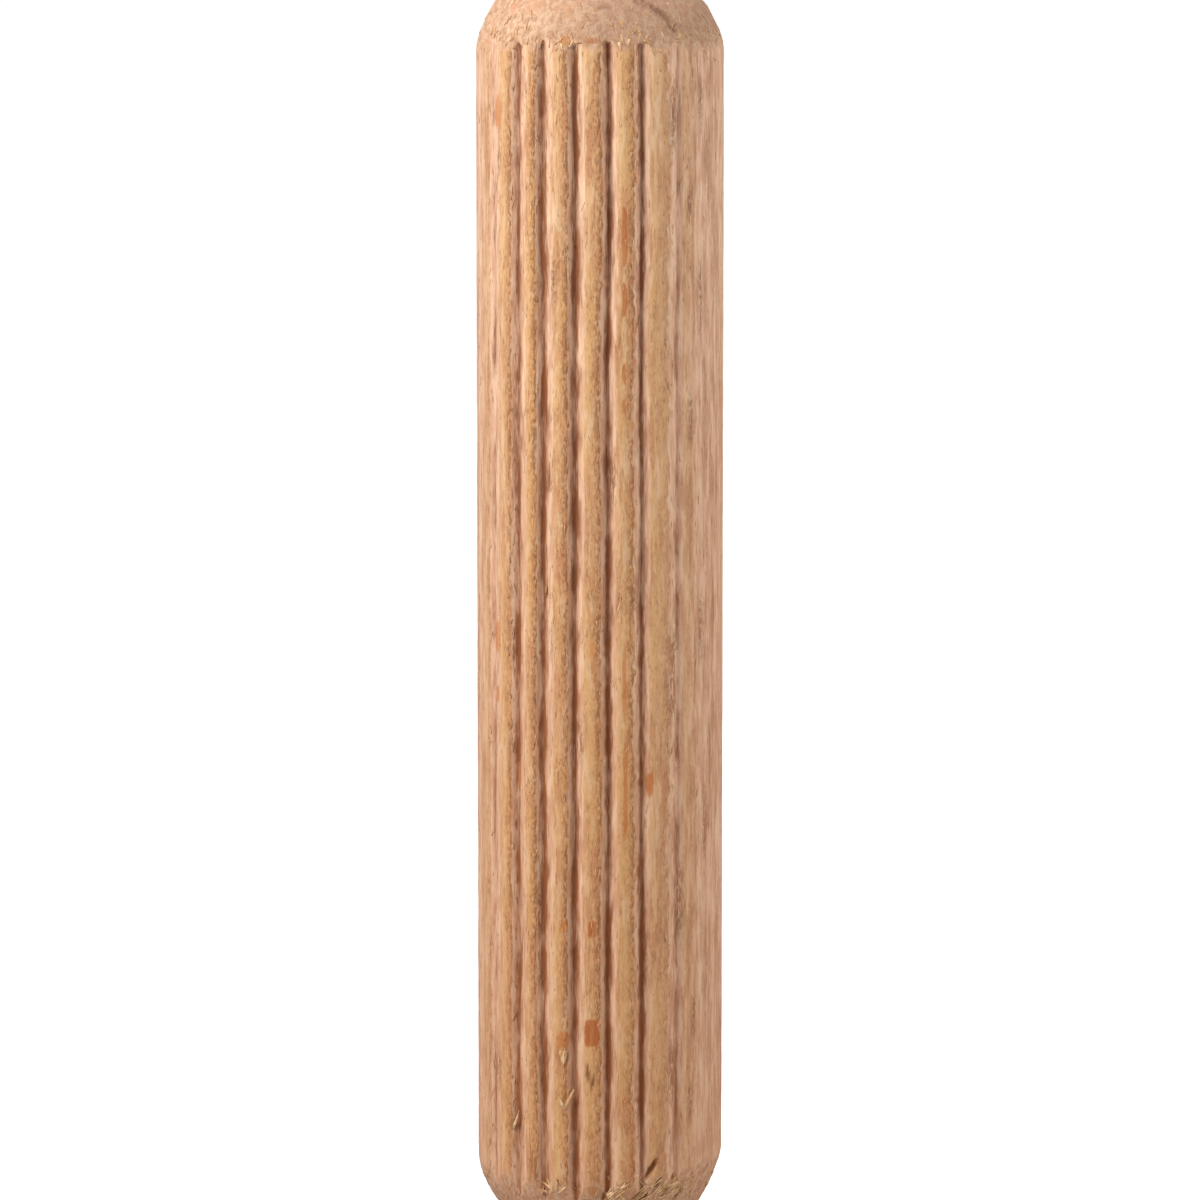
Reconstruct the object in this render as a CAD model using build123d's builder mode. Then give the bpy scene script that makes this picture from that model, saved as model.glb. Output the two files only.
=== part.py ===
"""A fluted wooden dowel pin: one turned stick with pressed glue flutes and rounded-over ends.

The pin stands on its lower end. The origin is the centre of that end, and +Z runs up the pin's axis.
The front of the pin faces -Y. Directions round the pin are counted from the front, anticlockwise as
seen from above, so that +90 degrees faces +X. Sizes are in millimetres and angles in degrees.
"""

import os
from math import radians, tan

from build123d import *

# The turned stick
pin_diameter = 8.0
pin_length = 40.0

# The two ends, rounded over so that the pin finds its hole
taper_length = 1.65
taper_depth = 0.8  # how far the taper comes in from the pin's side before its edge is rounded
taper_bulge = 0.11  # how far the taper's curve stands out from a straight cone
end_edge_radius = 0.15

# The flutes, pressed along the pin for the glue and for the air that it pushes out
flute_places = 22
first_flute_direction = 4.2
flute_depth = 0.26
flute_flank_angle = 38.0  # how far each flank leans away from the flute's own centre plane
land_edge_radius = 0.06
flute_floor_radius = 0.03

# Two half dies press them, from the front and from the back, so the flutes lean towards that line
press_direction = 4.0
lean_share = 0.65
most_lean = 24.0

# The two plain sides, where the half dies meet: the flutes fade towards them, and there they are missing
plain_direction = 79.0
plain_half_angle = 15.0
fade_angle = 50.0
shallowest_flute = 0.04

pin_radius = pin_diameter / 2
end_face_radius = pin_radius - taper_depth


def from_line(direction, line):
    """The angle from a line across the pin to this direction, from -90 up to 90 degrees."""
    return (direction - line + 90) % 180 - 90


def depth_at(direction):
    """The depth of the flute that faces this way: full, fading towards the plain sides, or none."""
    from_plain = abs(from_line(direction, plain_direction))
    share = min(max((from_plain - plain_half_angle) / fade_angle, 0), 1)
    return flute_depth * share**2 * (3 - 2 * share)


def lean_at(direction):
    """How far the flute that faces this way leans off the radius, towards the way the dies close."""
    lean = lean_share * from_line(direction, press_direction)
    return min(max(lean, -most_lean), most_lean)


with BuildPart() as dowel_pin:
    # The stick's section: round, with a V pressed in at each flute
    with BuildSketch() as fluted_section:
        Circle(pin_radius)
        for place in range(flute_places):
            direction = first_flute_direction + 360 / flute_places * place
            depth = depth_at(direction)
            if depth < shallowest_flute:
                continue
            # The V runs on outside the stick by one more depth, so it is twice as tall as the flute is deep
            lean = lean_at(direction)
            mouth_ahead = 2 * depth * tan(radians(flute_flank_angle - lean))
            mouth_behind = 2 * depth * tan(radians(flute_flank_angle + lean))
            with Locations(Rotation(0, 0, direction)):
                Polygon(
                    (0, depth - pin_radius),
                    (mouth_ahead, -depth - pin_radius),
                    (-mouth_behind, -depth - pin_radius),
                    align=None,
                    mode=Mode.SUBTRACT,
                )
        # In and out again rounds the edges of the lands, and out and in again rounds the flutes' floors
        offset(amount=-land_edge_radius)
        offset(amount=land_edge_radius)
        offset(amount=flute_floor_radius)
        offset(amount=-flute_floor_radius)
    extrude(amount=pin_length)

    # The lathe's profile, which rounds both ends over and leaves a flat face on each
    with BuildSketch(Plane.XZ) as turned_profile:
        with BuildLine():
            lower_taper = SagittaArc((end_face_radius, 0), (pin_radius, taper_length), -taper_bulge)
            side = Line(lower_taper @ 1, (pin_radius, pin_length - taper_length))
            upper_taper = SagittaArc(side @ 1, (end_face_radius, pin_length), -taper_bulge)
            Polyline(upper_taper @ 1, (0, pin_length), (0, 0), lower_taper @ 0)
        make_face()
        end_edges = [
            turned_profile.vertices().sort_by_distance(point)[0]
            for point in ((end_face_radius, 0), (end_face_radius, pin_length))
        ]
        fillet(end_edges, radius=end_edge_radius)
    revolve(axis=Axis.Z, mode=Mode.INTERSECT)

dowel_pin.part.label = "dowel_pin"
os.makedirs("parts", exist_ok=True)
export_step(dowel_pin.part, "parts/dowel_pin.step")
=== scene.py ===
"""The looks of a fluted beech dowel pin, stood on its lower end.

The pin is one turned stick. Its glue flutes are pressed in and a little uneven, and the press tore some
fibres up. Both of its ends are rounded over and rough. Directions round the pin are counted in degrees
from the front, which faces -Y, anticlockwise as seen from above, so that +90 faces +X.
Lengths that shape the wood are in millimetres, and Blender's own are in metres.
"""

import random
from math import atan2, cos, degrees, exp, hypot, radians, sin, sqrt, tan

import bmesh
import bpy
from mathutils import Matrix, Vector, noise


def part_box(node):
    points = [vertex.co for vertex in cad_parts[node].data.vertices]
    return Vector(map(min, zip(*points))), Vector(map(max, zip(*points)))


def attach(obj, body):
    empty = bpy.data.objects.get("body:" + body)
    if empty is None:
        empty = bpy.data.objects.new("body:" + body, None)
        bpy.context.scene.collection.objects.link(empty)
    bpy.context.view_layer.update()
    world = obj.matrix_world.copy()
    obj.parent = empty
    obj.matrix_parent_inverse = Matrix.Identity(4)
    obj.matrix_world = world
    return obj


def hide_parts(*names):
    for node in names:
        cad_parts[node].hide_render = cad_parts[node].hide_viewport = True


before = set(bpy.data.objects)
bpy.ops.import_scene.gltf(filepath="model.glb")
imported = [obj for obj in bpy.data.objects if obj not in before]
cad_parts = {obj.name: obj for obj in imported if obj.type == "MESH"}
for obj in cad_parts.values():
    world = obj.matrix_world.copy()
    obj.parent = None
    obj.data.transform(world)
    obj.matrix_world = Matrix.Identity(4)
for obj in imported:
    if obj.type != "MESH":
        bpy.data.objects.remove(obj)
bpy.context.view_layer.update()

MM = 0.001

# The stick, from the frame
pin_low, pin_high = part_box("dowel_pin")
pin_length = (pin_high.z - pin_low.z) / MM
pin_radius = (pin_high.x - pin_low.x) / 2 / MM

# The mesh of the stick
verts_around = 396
end_band = 2.6  # the rows are closer together this far in from each end
cuts_in_end_band = 26
cuts_between = 182
end_rings = 7

# The rounded-over ends
taper_length = 1.65
taper_depth = 0.8
taper_bulge = 0.11
past_taper_slope = 0.2  # past the taper its curve runs on outwards, out of the way of the flutes
end_edge_rounding = 0.13
shoulder_softness = 0.035
top_shoulder_skew = 0.13
face_rim = 0.2  # the outer share of each sawn face, where it rises to the rim

# How much longer, deeper and straighter the taper is where the cutter took the most off
extra_length = 0.16
extra_depth = 0.08
less_bulge = 0.5
top_cut_more = 0.5  # the upper end is this much as lopsided as the lower one

# The flutes
flute_places = 22
first_flute_direction = 4.2
flute_depth = 0.27
flank_angle = 38.0
straight_flank = 0.9  # the flanks are straight for this share of their depth
flank_spread = 0.44  # and round over into the lands across this share of it
flank_curve = 1.4
floor_softness = 0.035
land_softness = 0.30
flute_stop = 1.16  # the flutes stop short of the upper end
flute_run_out = 0.34  # and rise to the surface over this length
skin_allowance = 0.008  # the lands lie this far inside the pin's full radius, so that fibres can stand up

# How uneven the press left the flutes: lengths for where they run, fray and stop, and shares for the rest
long_wander = 0.050
short_wander = 0.016
depth_waves = 0.16
edge_waves = 0.18
edge_nicks = 0.12
left_edge_tears = 0.32
left_edge_width = 0.22
stop_waves = 0.22
stop_nicks = 0.12

# How rough the wood is on the pin's side, along the shoulders and over the ends
side_streaks = 0.012
side_threads = 0.008
shoulder_waves = 0.05
shoulder_nicks = 0.03
end_bumps = 0.020
end_pits = 0.022
deepest_tear = 0.1  # a tear is darkest from this depth on

# The half dies close from the front and the back, and the flutes lean that way
press_direction = 4.0
lean_share = 0.65
most_lean = 24.0

# The plain sides, where the half dies meet
plain_direction = 79.0
plain_half_angle = 15.0
fade_angle = 50.0

# How far some flutes stand off their even places, in degrees
flute_offsets = {-45: 0.9, -29: -0.4, 21: 0.4, 37: 2.7, 53: 2.0}

# The torn fibres, and how many there are where they aren't placed one by one
fuzz_count = 4200
frayed_count = 500
torn_corner_count = 110
strands_at_flute_top = 6
fibre_thickness = 0.7  # as a share of its width
fibre_sunk = 0.1  # as a share of its width
tip_dip = 0.1  # a fibre's tip follows the wood no further in than this
side_gap = 0.004  # fibres stay this far inside the pin's full radius
end_gap = 0.01

# The floor, the room and the lamps: lengths in metres, greys and light as shares of white, and watts
floor_radius = 3.0
floor_grey = 0.55
floor_glow = 0.86
room_light = 0.36
lamps = {
    "key": ((-0.09, -0.065, 0.126), 0.07, 0.265),
    "fill": ((0.15, -0.02, 0.10), 0.12, 0.185),
}

# The camera: metres, degrees, and millimetres for its lens
camera_distance = 0.26
camera_look_down = 8.65
camera_aim_height = 0.02016
camera_lens = 239.5

# Dark mineral streaks in the wood: direction, height, width, length
dark_streaks = [
    (37.0, 19.1, 0.22, 1.5),
    (36.0, 17.6, 0.26, 1.9),
    (39.5, 15.6, 0.14, 1.2),
    (54.5, 19.6, 0.12, 2.2),
    (46.8, 26.4, 0.14, 1.8),
    (54.0, 30.3, 0.12, 2.6),
    (40.9, 10.8, 0.16, 2.4),
    (36.2, 5.2, 0.20, 2.2),
    (50.0, 7.0, 0.12, 1.6),
    (47.0, 4.0, 0.12, 1.4),
    (58.0, 13.0, 0.12, 2.0),
    (36.6, 36.2, 0.16, 2.6),
    (53.7, 36.6, 0.14, 1.6),
    (46.0, 33.4, 0.12, 1.4),
    (-56.1, 5.0, 0.16, 1.4),
    (-54.6, 34.9, 0.16, 1.2),
    (-12.5, 21.5, 0.10, 1.0),
    (15.6, 20.9, 0.12, 1.2),
    (-9.0, 16.2, 0.10, 1.4),
    (3.0, 29.0, 0.10, 1.2),
    (-30.0, 10.5, 0.12, 1.8),
    (6.2, 24.5, 0.10, 1.8),
    (-22.0, 31.0, 0.10, 1.6),
    (22.0, 9.0, 0.12, 2.0),
]

# The wood's ray flecks that show: direction, height, width, length, and how red each one is
ray_flecks = [
    (11.2, 32.45, 0.20, 1.9, 0.62),
    (11.2, 30.4, 0.18, 1.1, 0.62),
    (11.0, 28.05, 0.17, 0.8, 0.50),
    (11.0, 27.0, 0.17, 0.6, 0.45),
    (-3.5, 19.1, 0.26, 0.8, 0.15),
    (11.4, 18.0, 0.18, 3.2, 0.40),
    (11.8, 14.6, 0.20, 4.2, 0.50),
    (-17.9, 10.05, 0.25, 0.5, 0.45),
    (-3.8, 10.0, 0.28, 0.6, 0.70),
    (-17.6, 6.33, 0.50, 0.7, 0.50),
    (-3.9, 6.57, 0.50, 0.95, 0.80),
    (-3.6, 1.35, 0.36, 0.45, 0.22),
    (11.6, 4.3, 0.22, 0.5, 0.30),
    (-56.5, 36.3, 0.52, 1.3, 0.30),
    (-57.0, 19.3, 0.52, 1.3, 0.40),
    (-57.5, 17.4, 0.40, 0.7, 0.45),
    (-43.0, 14.9, 0.26, 1.1, 0.50),
    (24.0, 14.7, 0.30, 0.9, 0.50),
    (-3.8, 38.70, 0.50, 0.26, 0.55),
    (-17.0, 38.7, 0.50, 0.35, 0.35),
]

# Chips and tears where fibres came out: direction, height, width, length, depth, and lean to the right
torn_out = [
    (-19.3, 5.72, 0.07, 0.50, 0.06, -16),
    (-15.8, 5.72, 0.07, 0.50, 0.06, 14),
    (-25.4, 24.6, 0.12, 0.9, 0.08, 4),
    (-26.6, 21.0, 0.10, 0.7, 0.07, -6),
    (25.4, 2.05, 0.15, 0.62, 0.17, 27),
    (28.6, 1.52, 0.11, 0.30, 0.12, 20),
    (37.5, 1.60, 0.12, 0.40, 0.10, 15),
    (1.7, 1.15, 0.14, 0.28, 0.10, 10),
    (17.0, 1.05, 0.12, 0.50, 0.09, 50),
    (22.0, 1.00, 0.13, 0.55, 0.10, 48),
    (33.0, 1.10, 0.12, 0.50, 0.10, 40),
    (43.0, 0.90, 0.12, 0.50, 0.08, 35),
    (-57.0, 18.2, 0.10, 0.5, 0.05, 0),
    (-56.5, 5.1, 0.14, 0.5, 0.04, 0),
    (-5.6, 5.25, 0.12, 0.60, 0.08, -6),
    (-3.4, 4.95, 0.12, 0.50, 0.08, 8),
    (-17.2, 4.35, 0.10, 0.50, 0.05, 20),
    (-45.4, 3.45, 0.09, 0.70, 0.06, 25),
    (-34.0, 2.1, 0.12, 0.9, 0.05, 8),
    (8.6, 20.6, 0.09, 0.8, 0.05, 6),
    (34.0, 39.48, 0.20, 1.35, 0.09, -50),
    (38.5, 39.05, 0.22, 0.50, 0.07, -40),
    (24.0, 39.78, 0.14, 0.70, 0.06, -60),
    (3.0, 39.72, 0.08, 0.70, 0.05, 84),
]

# Splinters that stand out: direction, height of the root, length, width, lift, and lean to the right
splinters = [
    (-17.2, 4.05, 0.76, 0.190, 0.13, 28),
    (-17.4, 4.10, 0.50, 0.150, 0.10, -26),
    (-17.6, 5.98, 0.48, 0.300, 0.03, 178),
    (-46.0, 3.20, 0.74, 0.140, 0.15, 27),
    (-24.5, 1.35, 0.40, 0.120, 0.14, -56),
    (-23.5, 1.25, 0.50, 0.120, 0.16, -22),
    (-21.5, 1.30, 0.48, 0.110, 0.15, 14),
    (-20.0, 1.25, 0.42, 0.110, 0.14, 50),
    (-26.0, 1.20, 0.36, 0.090, 0.12, -70),
    (3.1, 1.18, 0.82, 0.170, 0.12, 61),
    (6.5, 1.05, 0.50, 0.090, 0.12, 50),
    (10.0, 1.30, 0.46, 0.085, 0.10, 20),
    (20.6, 1.10, 0.86, 0.110, 0.14, 50),
    (24.5, 0.95, 0.66, 0.095, 0.14, 36),
    (29.0, 1.10, 0.58, 0.090, 0.13, 27),
    (31.5, 0.90, 0.52, 0.100, 0.14, 60),
    (35.0, 1.20, 0.44, 0.085, 0.12, 14),
    (39.0, 1.00, 0.48, 0.080, 0.12, 40),
    (13.0, 0.95, 0.40, 0.090, 0.10, -44),
    (15.5, 0.90, 0.52, 0.090, 0.10, 62),
    (-27.5, 20.9, 0.40, 0.060, 0.06, 10),
    (-24.6, 24.2, 0.46, 0.060, 0.07, 14),
    (8.3, 20.3, 0.66, 0.075, 0.08, 12),
    (-18.5, 38.60, 0.24, 0.130, 0.05, 160),
    (-13.0, 38.70, 0.24, 0.140, 0.05, 205),
    (9.0, 38.65, 0.26, 0.130, 0.05, 170),
    (14.0, 38.75, 0.24, 0.120, 0.05, 200),
]


def spot(direction, height, radius=None):
    """The point on the pin, in millimetres, that faces a direction at a height."""
    radius = pin_radius if radius is None else radius
    turn = radians(direction)
    return Vector((radius * sin(turn), -radius * cos(turn), height))


def turned(direction, other):
    """How far one direction is from another, in degrees, from -180 to 180."""
    return (direction - other + 180) % 360 - 180


def from_line(direction, line):
    """The angle from a line across the pin to this direction, from -90 up to 90 degrees."""
    return (direction - line + 90) % 180 - 90


def rise(share):
    """A smooth step from 0 to 1."""
    share = min(max(share, 0), 1)
    return share * share * (3 - 2 * share)


def soft_max(first, second, softness):
    """The larger of two values, with a rounded corner where they cross."""
    return (first + second + sqrt((first - second) ** 2 + softness**2)) / 2


def grain(point, across, along, seed):
    """Noise from about -1 to 1, drawn out along the pin. It has so many features in a millimetre."""
    return noise.noise(Vector((point.x * across + seed, point.y * across - seed, point.z * along + seed)))


def taper_inset(from_end, cut_more):
    """How far the rounded-over end lies inside the pin's side, at a distance from the end.

    The cutter took more off one side of each end: cut_more goes from 0 to 1 there, and the end is
    straighter, longer and deeper.
    """
    length = taper_length * (1 + extra_length * cut_more)
    share = from_end / length
    inset = taper_depth * (1 + extra_depth * cut_more) * (1 - share)
    inset -= 4 * taper_bulge * (1 - less_bulge * cut_more) * share * (1 - share)
    if share > 1:
        inset = -past_taper_slope * (from_end - length)
    return inset + end_edge_rounding * exp(-from_end / end_edge_rounding)


def pressed_share(direction):
    """How fully the dies reached this direction: 1 in front and behind, fading to 0 on the plain sides."""
    return rise((abs(from_line(direction, plain_direction)) - plain_half_angle) / fade_angle)


def lean_at(direction):
    """How far a flute leans off the radius, towards the way the dies close."""
    return min(max(lean_share * from_line(direction, press_direction), -most_lean), most_lean)


def flute_at(direction, height):
    """How deep the flutes are at a place, and how near it is to a floor and to a rough left edge, which also
    gets painted shade.
    """
    deepest = 0
    nearness = 0
    rough_and_shaded_edge = 0
    pitch = 360 / flute_places
    home = first_flute_direction + pitch * round((direction - first_flute_direction) / pitch)
    for place in (home - pitch, home, home + pitch):
        centre = place + flute_offsets.get(round(turned(place, 0)), 0)
        pressed = pressed_share(centre)
        own = spot(place, height)
        wander = long_wander * grain(own, 0.6, 0.16, 3.1) + short_wander * grain(own, 0.9, 0.9, 7.7)
        across = radians(turned(direction, centre)) * pin_radius - wander
        side = 1 if across > 0 else -1
        edge = spot(place + 4 * side, height)
        ragged = 1 + edge_waves * grain(edge, 1.4, 0.5, 1.3) + edge_nicks * grain(edge, 2.0, 2.6, 5.9)
        if side < 0:
            ragged += left_edge_tears * grain(edge, 3.0, 5.0, 2.8)
        flank = radians(flank_angle - side * lean_at(centre))
        full = flute_depth * (1 + depth_waves * grain(own, 0.7, 0.25, 9.2)) * pressed
        width = flute_depth * (straight_flank * tan(flank) + flank_spread) * ragged
        away = sqrt(across**2 + floor_softness**2) - 0.5 * floor_softness
        share = 1 - away / width
        depth = full * soft_max(share, 0, land_softness) ** flank_curve
        if side < 0:
            beside = (away - 0.8 * width) / left_edge_width
            rough_and_shaded_edge = max(rough_and_shaded_edge, exp(-(beside**2)) * pressed**0.5)
        if depth > deepest:
            deepest = depth
            nearness = max(share, 0) * pressed**0.5
    return deepest, nearness, rough_and_shaded_edge


def torn_depth(direction, height):
    """How deep the nearest chip or tear is at a place."""
    ragged = 0.45
    outer_edge = 1.5
    slope = 0.9
    depth = 0
    own = spot(direction, height)
    for facing, level, width, length, deep, lean in torn_out:
        right = radians(turned(direction, facing)) * pin_radius
        up = height - level
        across = (right * cos(radians(lean)) - up * sin(radians(lean))) / (width / 2)
        along = (up * cos(radians(lean)) + right * sin(radians(lean))) / (length / 2)
        reach = hypot(across, along)
        if reach < 2:
            reach += ragged * grain(own, 5.0, 3.5, 4.9)
            depth = max(depth, deep * rise((outer_edge - reach) / slope))
    return depth


def streak_at(direction, height):
    """How strongly a dark mineral streak shows at a place."""
    strength = 0
    for facing, level, width, length in dark_streaks:
        across = radians(turned(direction, facing)) * pin_radius / width
        along = (height - level) / (length / 2)
        strength = max(strength, exp(-(across**2) - along**4))
    return strength


def fleck_at(direction, height):
    """The strength of the ray fleck at a place, and how red it is. The reddest ones have crisp edges."""
    outer_edge = 1.15
    strength = 0
    redness = 0
    for facing, level, width, length, red in ray_flecks:
        across = abs(radians(turned(direction, facing)) * pin_radius) / (width / 2)
        along = abs(height - level) / (length / 2)
        reach = (across**4 + along**4) ** (1 / 4)
        softness = 0.3 if red > 0.6 else 0.7
        share = rise((outer_edge - reach) / softness)
        if share > strength:
            strength = share
            redness = red
    return strength, redness


def surface_at(direction, height):
    """How far the surface lies inside the full round, and what the wood is like there.

    The other three values say how near it is to a flute's floor, how near to a rough left edge that also
    gets painted shade, and how far the side has given way to the rounded-over end.
    """
    own = spot(direction, height)
    rightwards = sin(radians(direction))
    flute, nearness, rough_and_shaded_edge = flute_at(direction, height)
    if height < pin_length / 2:
        from_end = height
        cut_more = rise(rightwards)
    else:
        from_end = max(pin_length - height - top_shoulder_skew * max(rightwards, 0.4 * rightwards), 0)
        cut_more = top_cut_more * rise(-rightwards)
        stop = flute_stop + stop_waves * grain(spot(direction, 0), 0.9, 0, 6.6)
        stop += stop_nicks * grain(own, 3.0, 1.0, 9.9)
        reached = rise((from_end - stop) / flute_run_out)
        flute *= reached
        nearness *= reached
    ragged = shoulder_waves * grain(own, 1.6, 1.6, 2.2) + shoulder_nicks * grain(own, 4.0, 3.0, 6.1)
    taper = taper_inset(from_end + ragged * rise(from_end / 0.4), cut_more)
    turned_over = rise((taper - flute + 0.03) / 0.08)

    # The flutes' floors are smoother than the lands, and the left of each end is smoother than the right
    streaks = side_streaks * grain(own, 7.0, 0.9, 4.4) + side_threads * grain(own, 13.0, 2.6, 8.8)
    rough = end_bumps * grain(own, 3.6, 2.6, 1.9) + end_pits * grain(own, 10.0, 7.0, 5.3)
    rough *= 0.55 + 0.45 * rise(0.5 + 0.9 * rightwards)
    fuzz = (0.4 + 0.6 * (1 - nearness)) * streaks * (1 - turned_over) + rough * turned_over

    inset = soft_max(flute, taper, shoulder_softness) + skin_allowance + fuzz
    inset += torn_depth(direction, height)
    side_wood = 1 - turned_over
    return max(inset, 0), nearness * side_wood, rough_and_shaded_edge * side_wood, turned_over


def turn_the_blank():
    """A plain round stick with enough rows and rings to be worked on."""
    bpy.ops.object.select_all(action="DESELECT")
    bpy.ops.mesh.primitive_cylinder_add(
        vertices=verts_around,
        radius=pin_radius * MM,
        depth=pin_length * MM,
        end_fill_type="NGON",
        location=(0, 0, pin_length / 2 * MM),
        rotation=(0, 0, radians(first_flute_direction)),
    )
    blank = bpy.context.active_object
    bpy.ops.object.transform_apply(location=True, rotation=True, scale=True)
    bpy.ops.object.mode_set(mode="EDIT")
    for height in (end_band, pin_length - end_band):
        bpy.ops.mesh.select_all(action="SELECT")
        bpy.ops.mesh.bisect(plane_co=(0, 0, height * MM), plane_no=(0, 0, 1))
    cut_rows(blank, 0, end_band, cuts_in_end_band)
    cut_rows(blank, end_band, pin_length - end_band, cuts_between)
    cut_rows(blank, pin_length - end_band, pin_length, cuts_in_end_band)
    ring_the_ends(blank)
    bpy.ops.object.mode_set(mode="OBJECT")
    return blank


def cut_rows(blank, low, high, cuts):
    """Cuts the stick's side into rows between two heights."""
    bpy.context.tool_settings.mesh_select_mode = (False, True, False)
    bpy.ops.mesh.select_all(action="DESELECT")
    mesh = bmesh.from_edit_mesh(blank.data)
    slack = 0.001
    for edge in mesh.edges:
        heights = sorted(corner.co.z / MM for corner in edge.verts)
        upright = heights[1] - heights[0] > slack
        edge.select = upright and heights[0] > low - slack and heights[1] < high + slack
    bmesh.update_edit_mesh(blank.data)
    bpy.ops.mesh.subdivide_edgering(number_cuts=cuts, interpolation="LINEAR")


def ring_the_ends(blank):
    """Rings both flat ends inwards, down to a small fan at the middle."""
    bpy.context.tool_settings.mesh_select_mode = (False, False, True)
    bpy.ops.mesh.select_all(action="DESELECT")
    mesh = bmesh.from_edit_mesh(blank.data)
    for face in mesh.faces:
        face.select = len(face.verts) > 4
    bmesh.update_edit_mesh(blank.data)
    for _ in range(end_rings):
        bpy.ops.mesh.inset(thickness=pin_radius / (end_rings + 1) * MM)
    bpy.ops.mesh.poke()


def end_hollow(x, y):
    """How far the saw left the middle of the end's face below its rim."""
    own = Vector((x, y, 0))
    return 0.03 + 0.02 * noise.noise(own * 1.8) + 0.015 * noise.noise(own * 5.0)


def press_and_round(pin):
    """Moves the blank's surface to where the press and the lathe left it, and notes what lies where."""
    mesh = pin.data
    slack = 0.01
    notes = {}
    for vertex in mesh.vertices:
        x, y, height = (value / MM for value in vertex.co)
        direction = degrees(atan2(x, -y))
        radius = hypot(x, y)
        inset, floor, rough_and_shaded_edge, turned_over = surface_at(direction, height)
        face = 0
        if radius > pin_radius - slack:
            radius = pin_radius - inset
        else:
            share = radius / pin_radius
            radius = share * (pin_radius - inset)
            face = rise((1 - share) / face_rim)
            height += end_hollow(x, y) * face * (1 if height < pin_length / 2 else -1)
            floor, rough_and_shaded_edge, turned_over = 0, 0, 1

        # Painted shade over the upper end, its right side the most
        top_end_shade = rise(height - pin_length + 2) * rise(0.75 + sin(radians(direction)))
        fleck, fleck_red = fleck_at(direction, height)
        here = {
            "floor": floor,
            "rough_and_shaded_edge": rough_and_shaded_edge,
            "end_grain": turned_over,
            "end_face": face,
            "top_end_shade": turned_over * (top_end_shade * (1 - face) + 0.4 * face),
            "pressed": pressed_share(direction),
            "streak": streak_at(direction, height),
            "fleck": fleck,
            "fleck_red": fleck_red,
            "torn": min(torn_depth(direction, height) / deepest_tear, 1) * (1 - face),
        }
        for name, value in here.items():
            notes.setdefault(name, []).append(value)
        turn = radians(direction)
        vertex.co = (radius * sin(turn) * MM, -radius * cos(turn) * MM, height * MM)
    for name, values in notes.items():
        mesh.attributes.new(name, "FLOAT", "POINT").data.foreach_set("value", values)


def finish_mesh(piece):
    """Merges doubles, turns the faces outwards and shades the piece smooth."""
    bpy.ops.object.select_all(action="DESELECT")
    piece.select_set(True)
    bpy.context.view_layer.objects.active = piece
    bpy.ops.object.mode_set(mode="EDIT")
    bpy.ops.mesh.select_all(action="SELECT")
    bpy.ops.mesh.remove_doubles(threshold=1e-7)
    bpy.ops.mesh.normals_make_consistent(inside=False)
    bpy.ops.object.mode_set(mode="OBJECT")
    bpy.ops.object.shade_smooth()


def shape_a_fibre():
    """One torn-up fibre, a millimetre long and as wide at its root, narrowing in a full curve to its tip."""
    bpy.ops.object.select_all(action="DESELECT")
    bpy.ops.mesh.primitive_cone_add(vertices=4, radius1=0.5, radius2=0.06, depth=1, location=(0, 0, 0.5))
    fibre = bpy.context.active_object
    bpy.ops.object.transform_apply(location=True, rotation=True, scale=True)
    bpy.ops.object.mode_set(mode="EDIT")
    for height in (0.35, 0.65, 0.85):
        bpy.ops.mesh.select_all(action="SELECT")
        bpy.ops.mesh.bisect(plane_co=(0, 0, height), plane_no=(0, 0, 1))
    bpy.ops.object.mode_set(mode="OBJECT")
    for vertex in fibre.data.vertices:
        x, y, height = vertex.co
        fuller = 1 + 0.9 * height * (1 - height)
        vertex.co = (x * fuller, y * fuller, height)
    return fibre


def plant_fibres(name, fibre, places, material):
    """Copies the fibre to many places on the wood, curling off it, and joins the copies into one piece."""
    mesh = bmesh.new()
    for direction, height, length, width, lift, lean in places:
        start = len(mesh.verts)
        mesh.from_mesh(fibre.data)
        mesh.verts.ensure_lookup_table()
        tip_direction = direction + degrees(length * sin(radians(lean)) / pin_radius)
        tip_height = height + length * cos(radians(lean))
        root_inset = surface_at(direction, height)[0]
        tip_inset = surface_at(tip_direction, tip_height)[0]
        root = spot(direction, height, pin_radius - root_inset)
        tip = spot(tip_direction, tip_height, pin_radius - min(tip_inset, root_inset + tip_dip))
        outwards = spot(direction, 0).normalized()
        sideways = outwards.cross(tip - root).normalized()
        for vertex in mesh.verts[start:]:
            x, y, along = vertex.co
            placed = root + along * (tip - root) + x * width * sideways
            placed += (fibre_thickness * y * width + lift * along**2 - fibre_sunk * width) * outwards
            reach = hypot(placed.x, placed.y)
            placed.xy *= min(1, (pin_radius - side_gap) / reach)
            placed.z = min(max(placed.z, end_gap), pin_length - end_gap)
            vertex.co = placed * MM
    piece_mesh = bpy.data.meshes.new(name)
    mesh.to_mesh(piece_mesh)
    mesh.free()
    piece = bpy.data.objects.new(name, piece_mesh)
    bpy.context.scene.collection.objects.link(piece)
    finish_mesh(piece)
    piece.data.materials.append(material)
    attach(piece, "root")


def fuzz_places():
    """Short fibres that stand up all over the lands and along the flutes' edges."""
    draw = random.Random(8)
    places = []
    while len(places) < fuzz_count:
        direction = draw.uniform(-180, 180)
        height = draw.uniform(0.8, pin_length - 1.3)
        length = draw.uniform(0.10, 0.42)
        width = draw.uniform(0.016, 0.036)
        lift = draw.uniform(0.0, 0.05)
        lean = draw.gauss(0, 9) + draw.choice((0, 180))
        _, floor, rough_and_shaded_edge, _ = surface_at(direction, height)
        wanted = 0.15 + 0.35 * pressed_share(direction) + 0.5 * rough_and_shaded_edge
        width *= 1 + 0.6 * rough_and_shaded_edge
        lift *= 1 + 0.5 * rough_and_shaded_edge
        if floor < 0.6 and draw.random() < wanted:
            places.append((direction, height, length, width, lift, lean))
    return places


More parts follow.
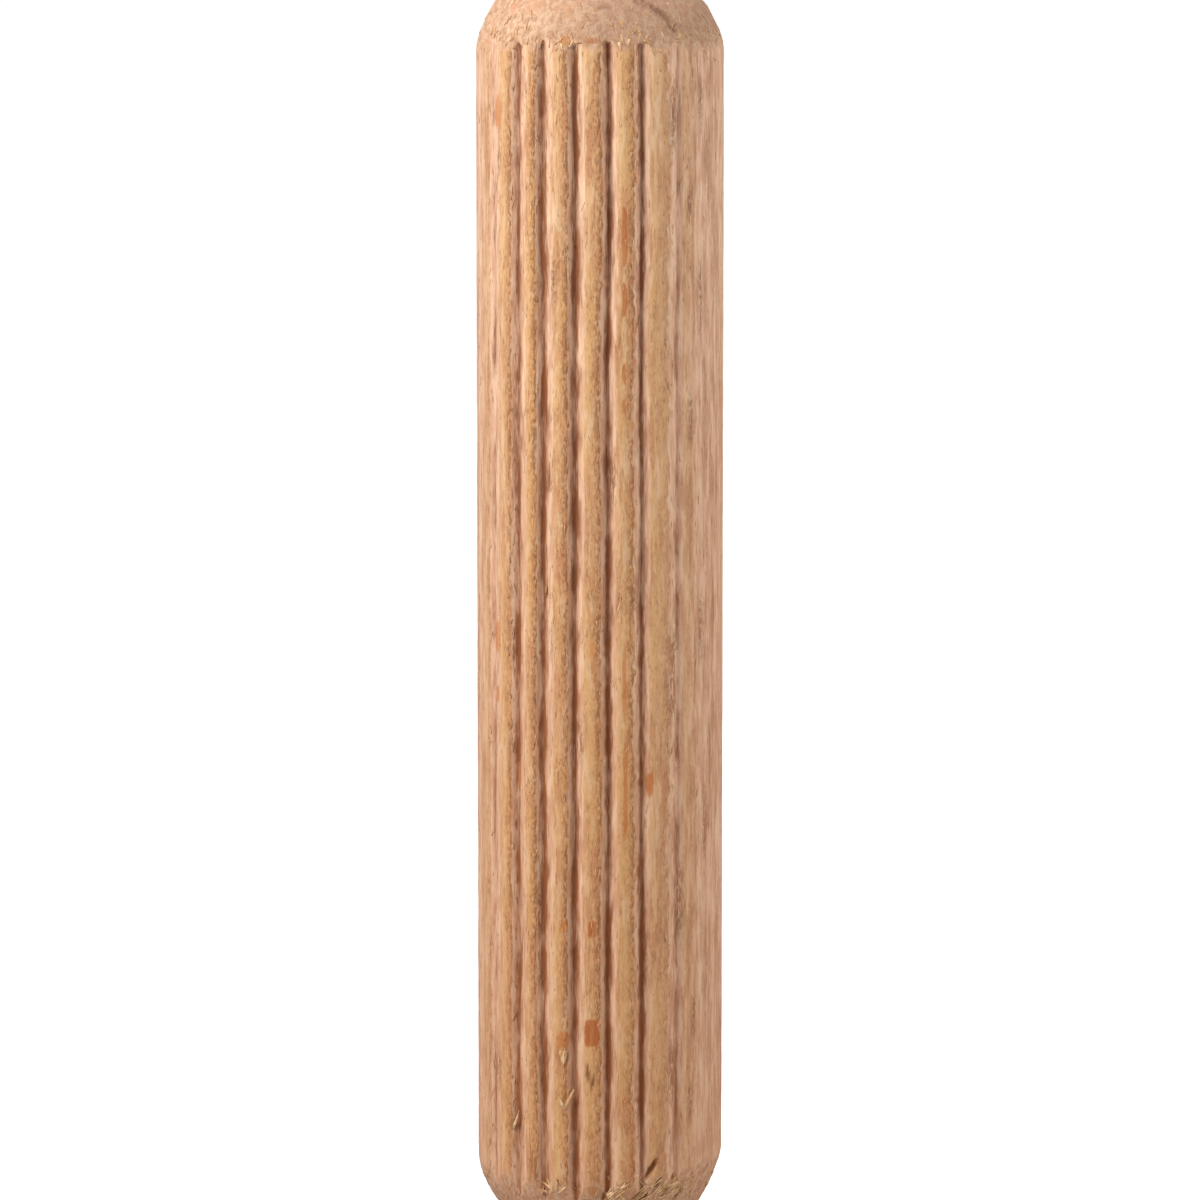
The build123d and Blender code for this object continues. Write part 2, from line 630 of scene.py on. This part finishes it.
def frayed_places():
    """Longer fibres round both shoulders and over the tapers, lying every way."""
    draw = random.Random(21)
    places = []
    for _ in range(frayed_count):
        direction = draw.uniform(-180, 180)
        low_end = draw.random() < 0.55
        from_end = abs(draw.gauss(0.9, 0.5)) + 0.12
        height = from_end if low_end else pin_length - from_end
        length = draw.uniform(0.12, 0.40)
        width = draw.uniform(0.04, 0.09)
        lift = draw.uniform(0.00, 0.05)
        lean = draw.gauss(0, 40) + (0 if low_end else 180)
        places.append((direction, height, length, width, lift, lean))
    return places


def flute_top_places():
    """Short strands that hang over the upper ends of the flutes, where the press stopped."""
    draw = random.Random(13)
    places = []
    for flute in range(flute_places):
        direction = first_flute_direction + 360 / flute_places * flute
        if pressed_share(direction) < 0.1:
            continue
        for _ in range(strands_at_flute_top):
            beside = direction + draw.gauss(-1, 4)
            height = pin_length - flute_stop - draw.uniform(-0.12, 0.12)
            length = draw.uniform(0.14, 0.36)
            width = draw.uniform(0.06, 0.12)
            lift = draw.uniform(0.0, 0.06)
            lean = 180 + draw.gauss(0, 28)
            places.append((beside, height, length, width, lift, lean))
    return places


def torn_corner_places():
    """Strands dragged up to the right along the lower shoulder, from the front round to the right."""
    draw = random.Random(5)
    places = []
    for _ in range(torn_corner_count):
        direction = draw.uniform(3, 50)
        height = draw.uniform(0.65, 1.45)
        length = draw.uniform(0.3, 0.75)
        width = draw.uniform(0.03, 0.08)
        lift = draw.uniform(0.02, 0.10)
        lean = draw.gauss(46, 16)
        places.append((direction, height, length, width, lift, lean))
    return places



class Nodes:
    """A short hand for building the nodes of a material or of the world."""

    def __init__(self, owner):
        owner.use_nodes = True
        self.tree = owner.node_tree
        self.tree.nodes.clear()

    def add(self, kind, **settings):
        node = self.tree.nodes.new(kind)
        for name, value in settings.items():
            setattr(node, name, value)
        return node

    def join(self, source, socket):
        if isinstance(source, bpy.types.NodeSocket):
            self.tree.links.new(source, socket)
        else:
            socket.default_value = source

    def math(self, operation, first, second=0.0, third=0.0):
        node = self.add("ShaderNodeMath", operation=operation)
        for value, socket in zip((first, second, third), node.inputs):
            self.join(value, socket)
        return node.outputs["Value"]

    def between(self, value, low, high, to_low=0.0, to_high=1.0):
        """A value's smooth rise from one level to another."""
        node = self.add("ShaderNodeMapRange", interpolation_type="SMOOTHSTEP")
        for source, name in (
            (value, "Value"),
            (low, "From Min"),
            (high, "From Max"),
            (to_low, "To Min"),
            (to_high, "To Max"),
        ):
            self.join(source, node.inputs[name])
        return node.outputs["Result"]

    def blend(self, share, first, second):
        """A colour that goes from one to another."""
        node = self.add("ShaderNodeMix", data_type="RGBA")
        self.join(share, node.inputs["Factor"])
        self.join(first, node.inputs["A"])
        self.join(second, node.inputs["B"])
        return node.outputs["Result"]

    def seen(self):
        """1 for what is seen straight, in gloss or through glass, and 0 for what only gives light."""
        rays = self.add("ShaderNodeLightPath")
        seen = self.math("MAXIMUM", rays.outputs["Is Camera Ray"], rays.outputs["Is Glossy Ray"])
        return self.math("MAXIMUM", seen, rays.outputs["Is Transmission Ray"])


class WoodNodes(Nodes):
    """Nodes that follow the grain of the pin's wood."""

    def __init__(self, material):
        super().__init__(material)
        self.place = self.add("ShaderNodeTexCoord").outputs["Object"]

    def pattern(self, scale, detail=2.0, roughness=0.5, shift=0.0):
        """Noise with so many features in a millimetre along X, Y and Z."""
        mapping = self.add("ShaderNodeMapping")
        self.join(self.place, mapping.inputs["Vector"])
        mapping.inputs["Scale"].default_value = [features / MM for features in scale]
        mapping.inputs["Location"].default_value = (shift, -shift, shift / 2)
        texture = self.add("ShaderNodeTexNoise")
        self.join(mapping.outputs["Vector"], texture.inputs["Vector"])
        texture.inputs["Scale"].default_value = 1.0
        texture.inputs["Detail"].default_value = detail
        texture.inputs["Roughness"].default_value = roughness
        return texture.outputs["Fac"]

    def grain(self, across, along, **settings):
        """Noise drawn out along the pin."""
        return self.pattern((across, across, along), **settings)

    def note(self, name):
        """A value that was noted on the mesh."""
        return self.add("ShaderNodeAttribute", attribute_name=name).outputs["Fac"]

    def height(self):
        """The height above the pin's lower end, in metres."""
        parts = self.add("ShaderNodeSeparateXYZ")
        self.join(self.place, parts.inputs["Vector"])
        return parts.outputs["Z"]

    def dull_surface(self, colour, roughness):
        """The material's own shader: a dull surface of this colour."""
        shader = self.add("ShaderNodeBsdfPrincipled")
        self.join(colour, shader.inputs["Base Color"])
        shader.inputs["Roughness"].default_value = roughness
        shader.inputs["Specular IOR Level"].default_value = 0.2
        out = self.add("ShaderNodeOutputMaterial")
        self.join(shader.outputs["BSDF"], out.inputs["Surface"])
        return shader


class BeechNodes(WoodNodes):
    """Beech's grain, from the finest threads to the broadest clouds."""

    def __init__(self, material):
        super().__init__(material)
        self.thread = self.grain(17.0, 2.0, detail=2.0, roughness=0.55)
        self.streak = self.grain(7.0, 0.8, detail=3.0, roughness=0.6, shift=11.0)
        self.cloud = self.grain(1.1, 0.20, detail=3.0, shift=23.0)
        self.patch = self.grain(2.4, 0.55, detail=3.0, roughness=0.6, shift=29.0)
        self.speck = self.grain(14.0, 6.0, detail=2.0, roughness=0.55, shift=37.0)
        self.ragged = self.math("MULTIPLY", self.math("SUBTRACT", self.thread, 0.5), 0.5)
        in_places = self.between(self.patch, 0.40, 0.60, 0.05, 0.36)
        self.specked = self.math("MULTIPLY", self.between(self.speck, 0.52, 0.66), in_places)


def tint(red, green, blue):
    """A colour given as it looks on a screen, from 0 to 255, for a shader."""

    def linear(level):
        level = level / 255
        return level / 12.92 if level <= 0.04045 else ((level + 0.055) / 1.055) ** 2.4

    return (linear(red), linear(green), linear(blue), 1.0)


def lands(n):
    """The lands: cream and ochre in patches and streaks, brown specks in places, and dark ragged right
    edges, partly torn fibres and partly painted shade on the side away from the light.
    """
    wood = n.blend(n.between(n.streak, 0.38, 0.62), tint(198, 146, 104), tint(228, 182, 134))
    wood = n.blend(n.between(n.cloud, 0.42, 0.60, 0.0, 0.75), wood, tint(222, 174, 118))
    wood = n.blend(n.between(n.patch, 0.52, 0.66, 0.0, 0.6), wood, tint(196, 138, 102))
    wood = n.blend(n.between(n.patch, 0.34, 0.46, 0.55, 0.0), wood, tint(236, 202, 164))
    wood = n.blend(n.between(n.thread, 0.53, 0.68, 0.0, 0.4), wood, tint(236, 202, 160))
    wood = n.blend(n.specked, wood, tint(140, 98, 62))
    # Painted shade: the right edge of each land, facing away from the light, is browner, and darker still
    # where fibres are torn up
    edge = n.note("rough_and_shaded_edge")
    wood = n.blend(n.math("MULTIPLY", edge, 0.28), wood, tint(206, 134, 80))
    torn_up = n.between(n.math("ADD", n.speck, n.streak), 0.86, 1.10, 0.1, 0.8)
    return n.blend(n.math("MULTIPLY", edge, torn_up), wood, tint(138, 88, 52))


def plain_sides(n):
    """The plain sides: pinkish, with dark vessel lines in groups."""
    vessel = n.between(n.grain(9.0, 0.9, detail=3.0, roughness=0.6, shift=51.0), 0.53, 0.66)
    band = n.between(n.grain(4.0, 0.22, detail=2.0, shift=67.0), 0.47, 0.60)
    wood = n.blend(n.between(n.streak, 0.36, 0.64), tint(204, 158, 126), tint(226, 186, 154))
    lines = n.math("MULTIPLY", vessel, n.math("MULTIPLY_ADD", band, 0.45, 0.2))
    wood = n.blend(lines, wood, tint(132, 86, 60))
    wood = n.blend(n.math("MULTIPLY", band, 0.35), wood, tint(166, 116, 86))
    wood = n.blend(n.between(n.patch, 0.50, 0.64, 0.0, 0.40), wood, tint(164, 118, 88))
    wood = n.blend(n.between(n.patch, 0.34, 0.46, 0.40, 0.0), wood, tint(234, 198, 166))
    return n.blend(n.specked, wood, tint(146, 102, 74))


def flutes(n, wood):
    """The wood with the flutes in it: smooth pinkish flanks, and floors darkened by a brown stain and by
    painted shade.
    """
    floor = n.math("ADD", n.note("floor"), n.ragged)
    flank = n.blend(n.between(n.streak, 0.36, 0.64), tint(210, 162, 132), tint(236, 198, 168))
    wood = n.blend(n.between(floor, 0.10, 0.28, 0.0, 0.85), wood, flank)
    # Painted shade: the floors are darkened for the shade that falls in them, over a brown stain
    floor = n.math("ADD", floor, n.between(n.patch, 0.35, 0.65, -0.15, 0.15))
    return n.blend(n.between(floor, 0.40, 1.0, 0.0, 0.95), wood, tint(124, 68, 36))


def mineral_streaks(n, wood):
    """The wood with its dark mineral streaks, broken up by the grain."""
    dark = n.math("MULTIPLY", n.note("streak"), n.between(n.math("ADD", n.speck, n.thread), 0.80, 1.10))
    return n.blend(n.math("MULTIPLY", dark, 0.8), wood, tint(126, 82, 54))


def cut_ends(n):
    """The mottled end grain of the rounding, and the sawn faces: rings one way and fine rays the other."""
    fine = n.grain(15.0, 11.0, detail=3.0, roughness=0.7, shift=71.0)
    coarse = n.grain(5.0, 4.0, detail=3.0, roughness=0.65, shift=83.0)
    end = n.blend(n.between(coarse, 0.38, 0.62), tint(188, 146, 116), tint(216, 178, 148))
    end = n.blend(n.between(fine, 0.50, 0.66, 0.0, 0.40), end, tint(150, 104, 72))
    end = n.blend(n.between(fine, 0.36, 0.48, 0.22, 0.0), end, tint(236, 204, 166))
    end = n.blend(n.between(n.patch, 0.54, 0.66, 0.0, 0.5), end, tint(208, 150, 114))
    rings = n.pattern((0.25, 1.6, 0.3), detail=3.0, roughness=0.6, shift=91.0)
    rays = n.pattern((11.0, 0.8, 0.3), detail=2.0, roughness=0.6, shift=97.0)
    sawn = n.blend(n.between(rings, 0.42, 0.60, 0.0, 0.6), end, tint(178, 126, 90))
    sawn = n.blend(n.between(rays, 0.56, 0.64, 0.0, 0.6), sawn, tint(222, 176, 134))
    return n.blend(n.note("end_face"), end, sawn)


def ray_flecked(n, wood):
    """The wood with its ray flecks, from orange to red, with ragged edges."""
    ragged = n.math("ADD", n.ragged, n.math("MULTIPLY", n.math("SUBTRACT", n.speck, 0.5), 0.8))
    fleck = n.between(n.math("ADD", n.note("fleck"), ragged), 0.26, 0.80)
    redness = n.note("fleck_red")
    fleck = n.math("MULTIPLY", fleck, n.math("MULTIPLY_ADD", redness, 0.5, 0.5))
    colour = n.blend(redness, tint(220, 142, 76), tint(150, 60, 22))
    colour = n.blend(n.between(n.streak, 0.4, 0.6, 0.0, 0.3), colour, tint(206, 146, 98))
    return n.blend(fleck, wood, colour)


def beech():
    """Steamed beech as the dies and the lathe leave it: tan lands, pinkish flanks, and floors darkened by a
    stain and by painted shade.
    """
    material = bpy.data.materials.new("beech")
    n = BeechNodes(material)
    wood = n.blend(n.note("pressed"), plain_sides(n), lands(n))
    wood = flutes(n, wood)
    wood = mineral_streaks(n, wood)
    wood = n.blend(n.note("end_grain"), wood, cut_ends(n))
    wood = ray_flecked(n, wood)
    # Torn wood and painted shade: chips and tears darken the deeper they go, for the shade in the hollow
    wood = n.blend(n.math("MULTIPLY", n.note("torn"), 0.9), wood, tint(112, 70, 40))

    # The colour is darker and warmer towards the lower end
    wood = n.blend(n.between(n.height(), 0.0, pin_length * MM, 0.30, 0.02), wood, tint(156, 88, 34))
    # Painted shade: the upper end is darkened, its right side the most
    wood = n.blend(n.math("MULTIPLY", n.note("top_end_shade"), 0.52), wood, tint(140, 106, 84))

    bump = n.add("ShaderNodeBump")
    bump.inputs["Strength"].default_value = 0.8
    bump.inputs["Distance"].default_value = 0.035 * MM
    raised_grain = n.math("ADD", n.math("MULTIPLY", n.thread, 0.6), n.math("MULTIPLY", n.speck, 0.5))
    n.join(raised_grain, bump.inputs["Height"])
    shader = n.dull_surface(wood, 0.8)
    n.join(bump.outputs["Normal"], shader.inputs["Normal"])
    return material


def torn_beech(name, dark, pale):
    """Torn-up fibres, between a dark and a pale colour."""
    material = bpy.data.materials.new(name)
    n = WoodNodes(material)
    patch = n.grain(4.0, 1.5, detail=2.0, shift=5.0)
    thread = n.grain(25.0, 4.0, detail=1.0, shift=9.0)
    wood = n.blend(n.between(patch, 0.36, 0.64), dark, pale)
    wood = n.blend(n.between(thread, 0.5, 0.7, 0.0, 0.3), wood, tint(170, 120, 78))
    n.dull_surface(wood, 0.85)
    return material


def make_pin():
    """The pin: the blank, pressed and rounded over, in beech."""
    pin = turn_the_blank()
    pin.name = "fluted_pin"
    press_and_round(pin)
    finish_mesh(pin)
    pin.data.materials.append(beech())
    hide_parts("dowel_pin")
    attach(pin, "root")


def make_fibres():
    """What the press and the lathe tore up: fuzz, frayed edges and a few splinters."""
    fibre = shape_a_fibre()
    fuzzy = torn_beech("fuzzy_beech", tint(176, 130, 92), tint(212, 168, 124))
    torn = torn_beech("torn_beech", tint(206, 156, 106), tint(238, 202, 154))
    plant_fibres("raised_fuzz", fibre, fuzz_places(), fuzzy)
    plant_fibres("frayed_edges", fibre, frayed_places(), fuzzy)
    plant_fibres("frayed_flute_tops", fibre, flute_top_places(), fuzzy)
    plant_fibres("torn_corner", fibre, torn_corner_places(), torn)
    plant_fibres("torn_splinters", fibre, splinters, torn)
    bpy.data.objects.remove(fibre)


def lay_floor():
    """A floor that looks white, keeps the pin's shadow and goes on out of sight."""
    bpy.ops.object.select_all(action="DESELECT")
    bpy.ops.mesh.primitive_circle_add(
        vertices=96, radius=floor_radius, fill_type="NGON", location=(0, 0, 0)
    )
    floor = bpy.context.active_object
    floor.name = "floor"
    material = bpy.data.materials.new("pale_floor")
    n = Nodes(material)
    diffuse = n.add("ShaderNodeBsdfDiffuse")
    diffuse.inputs["Color"].default_value = (floor_grey, floor_grey, floor_grey, 1)
    glow = n.add("ShaderNodeEmission")
    n.join(n.math("MULTIPLY", n.seen(), floor_glow), glow.inputs["Strength"])
    both = n.add("ShaderNodeAddShader")
    n.join(diffuse.outputs["BSDF"], both.inputs[0])
    n.join(glow.outputs["Emission"], both.inputs[1])
    out = n.add("ShaderNodeOutputMaterial")
    n.join(both.outputs["Shader"], out.inputs["Surface"])
    floor.data.materials.append(material)


def light_the_room():
    """A pale room that gives a soft light from all round."""
    world = bpy.data.worlds.new("white_room")
    bpy.context.scene.world = world
    n = Nodes(world)
    background = n.add("ShaderNodeBackground")
    n.join(n.between(n.seen(), 0.0, 1.0, room_light, 1.0), background.inputs["Strength"])
    out = n.add("ShaderNodeOutputWorld")
    n.join(background.outputs["Background"], out.inputs["Surface"])


def hang_lamp(name, place, size, watts):
    """A soft square lamp that faces the middle of the pin."""
    lamp = bpy.data.lights.new(name, "AREA")
    lamp.shape = "SQUARE"
    lamp.size = size
    lamp.energy = watts
    holder = bpy.data.objects.new(name, lamp)
    bpy.context.scene.collection.objects.link(holder)
    holder.location = place
    aim = Vector((0, 0, pin_length / 2 * MM)) - Vector(place)
    holder.rotation_euler = aim.to_track_quat("-Z", "Y").to_euler()


def set_camera():
    """A long lens, a little above the pin and looking slightly down at its middle."""
    look_down = radians(camera_look_down)
    aim = Vector((0, 0, camera_aim_height))
    camera = bpy.data.cameras.new("camera")
    camera.lens = camera_lens
    camera.sensor_width = 36
    camera.clip_start = 0.01
    camera.clip_end = 20
    holder = bpy.data.objects.new("camera", camera)
    bpy.context.scene.collection.objects.link(holder)
    holder.location = aim + camera_distance * Vector((0, -cos(look_down), sin(look_down)))
    holder.rotation_euler = (aim - holder.location).to_track_quat("-Z", "Y").to_euler()
    bpy.context.scene.camera = holder


make_pin()
make_fibres()
lay_floor()
light_the_room()
for name, (place, size, watts) in lamps.items():
    hang_lamp(name, place, size, watts)
set_camera()
bpy.context.scene.view_settings.view_transform = "Standard"
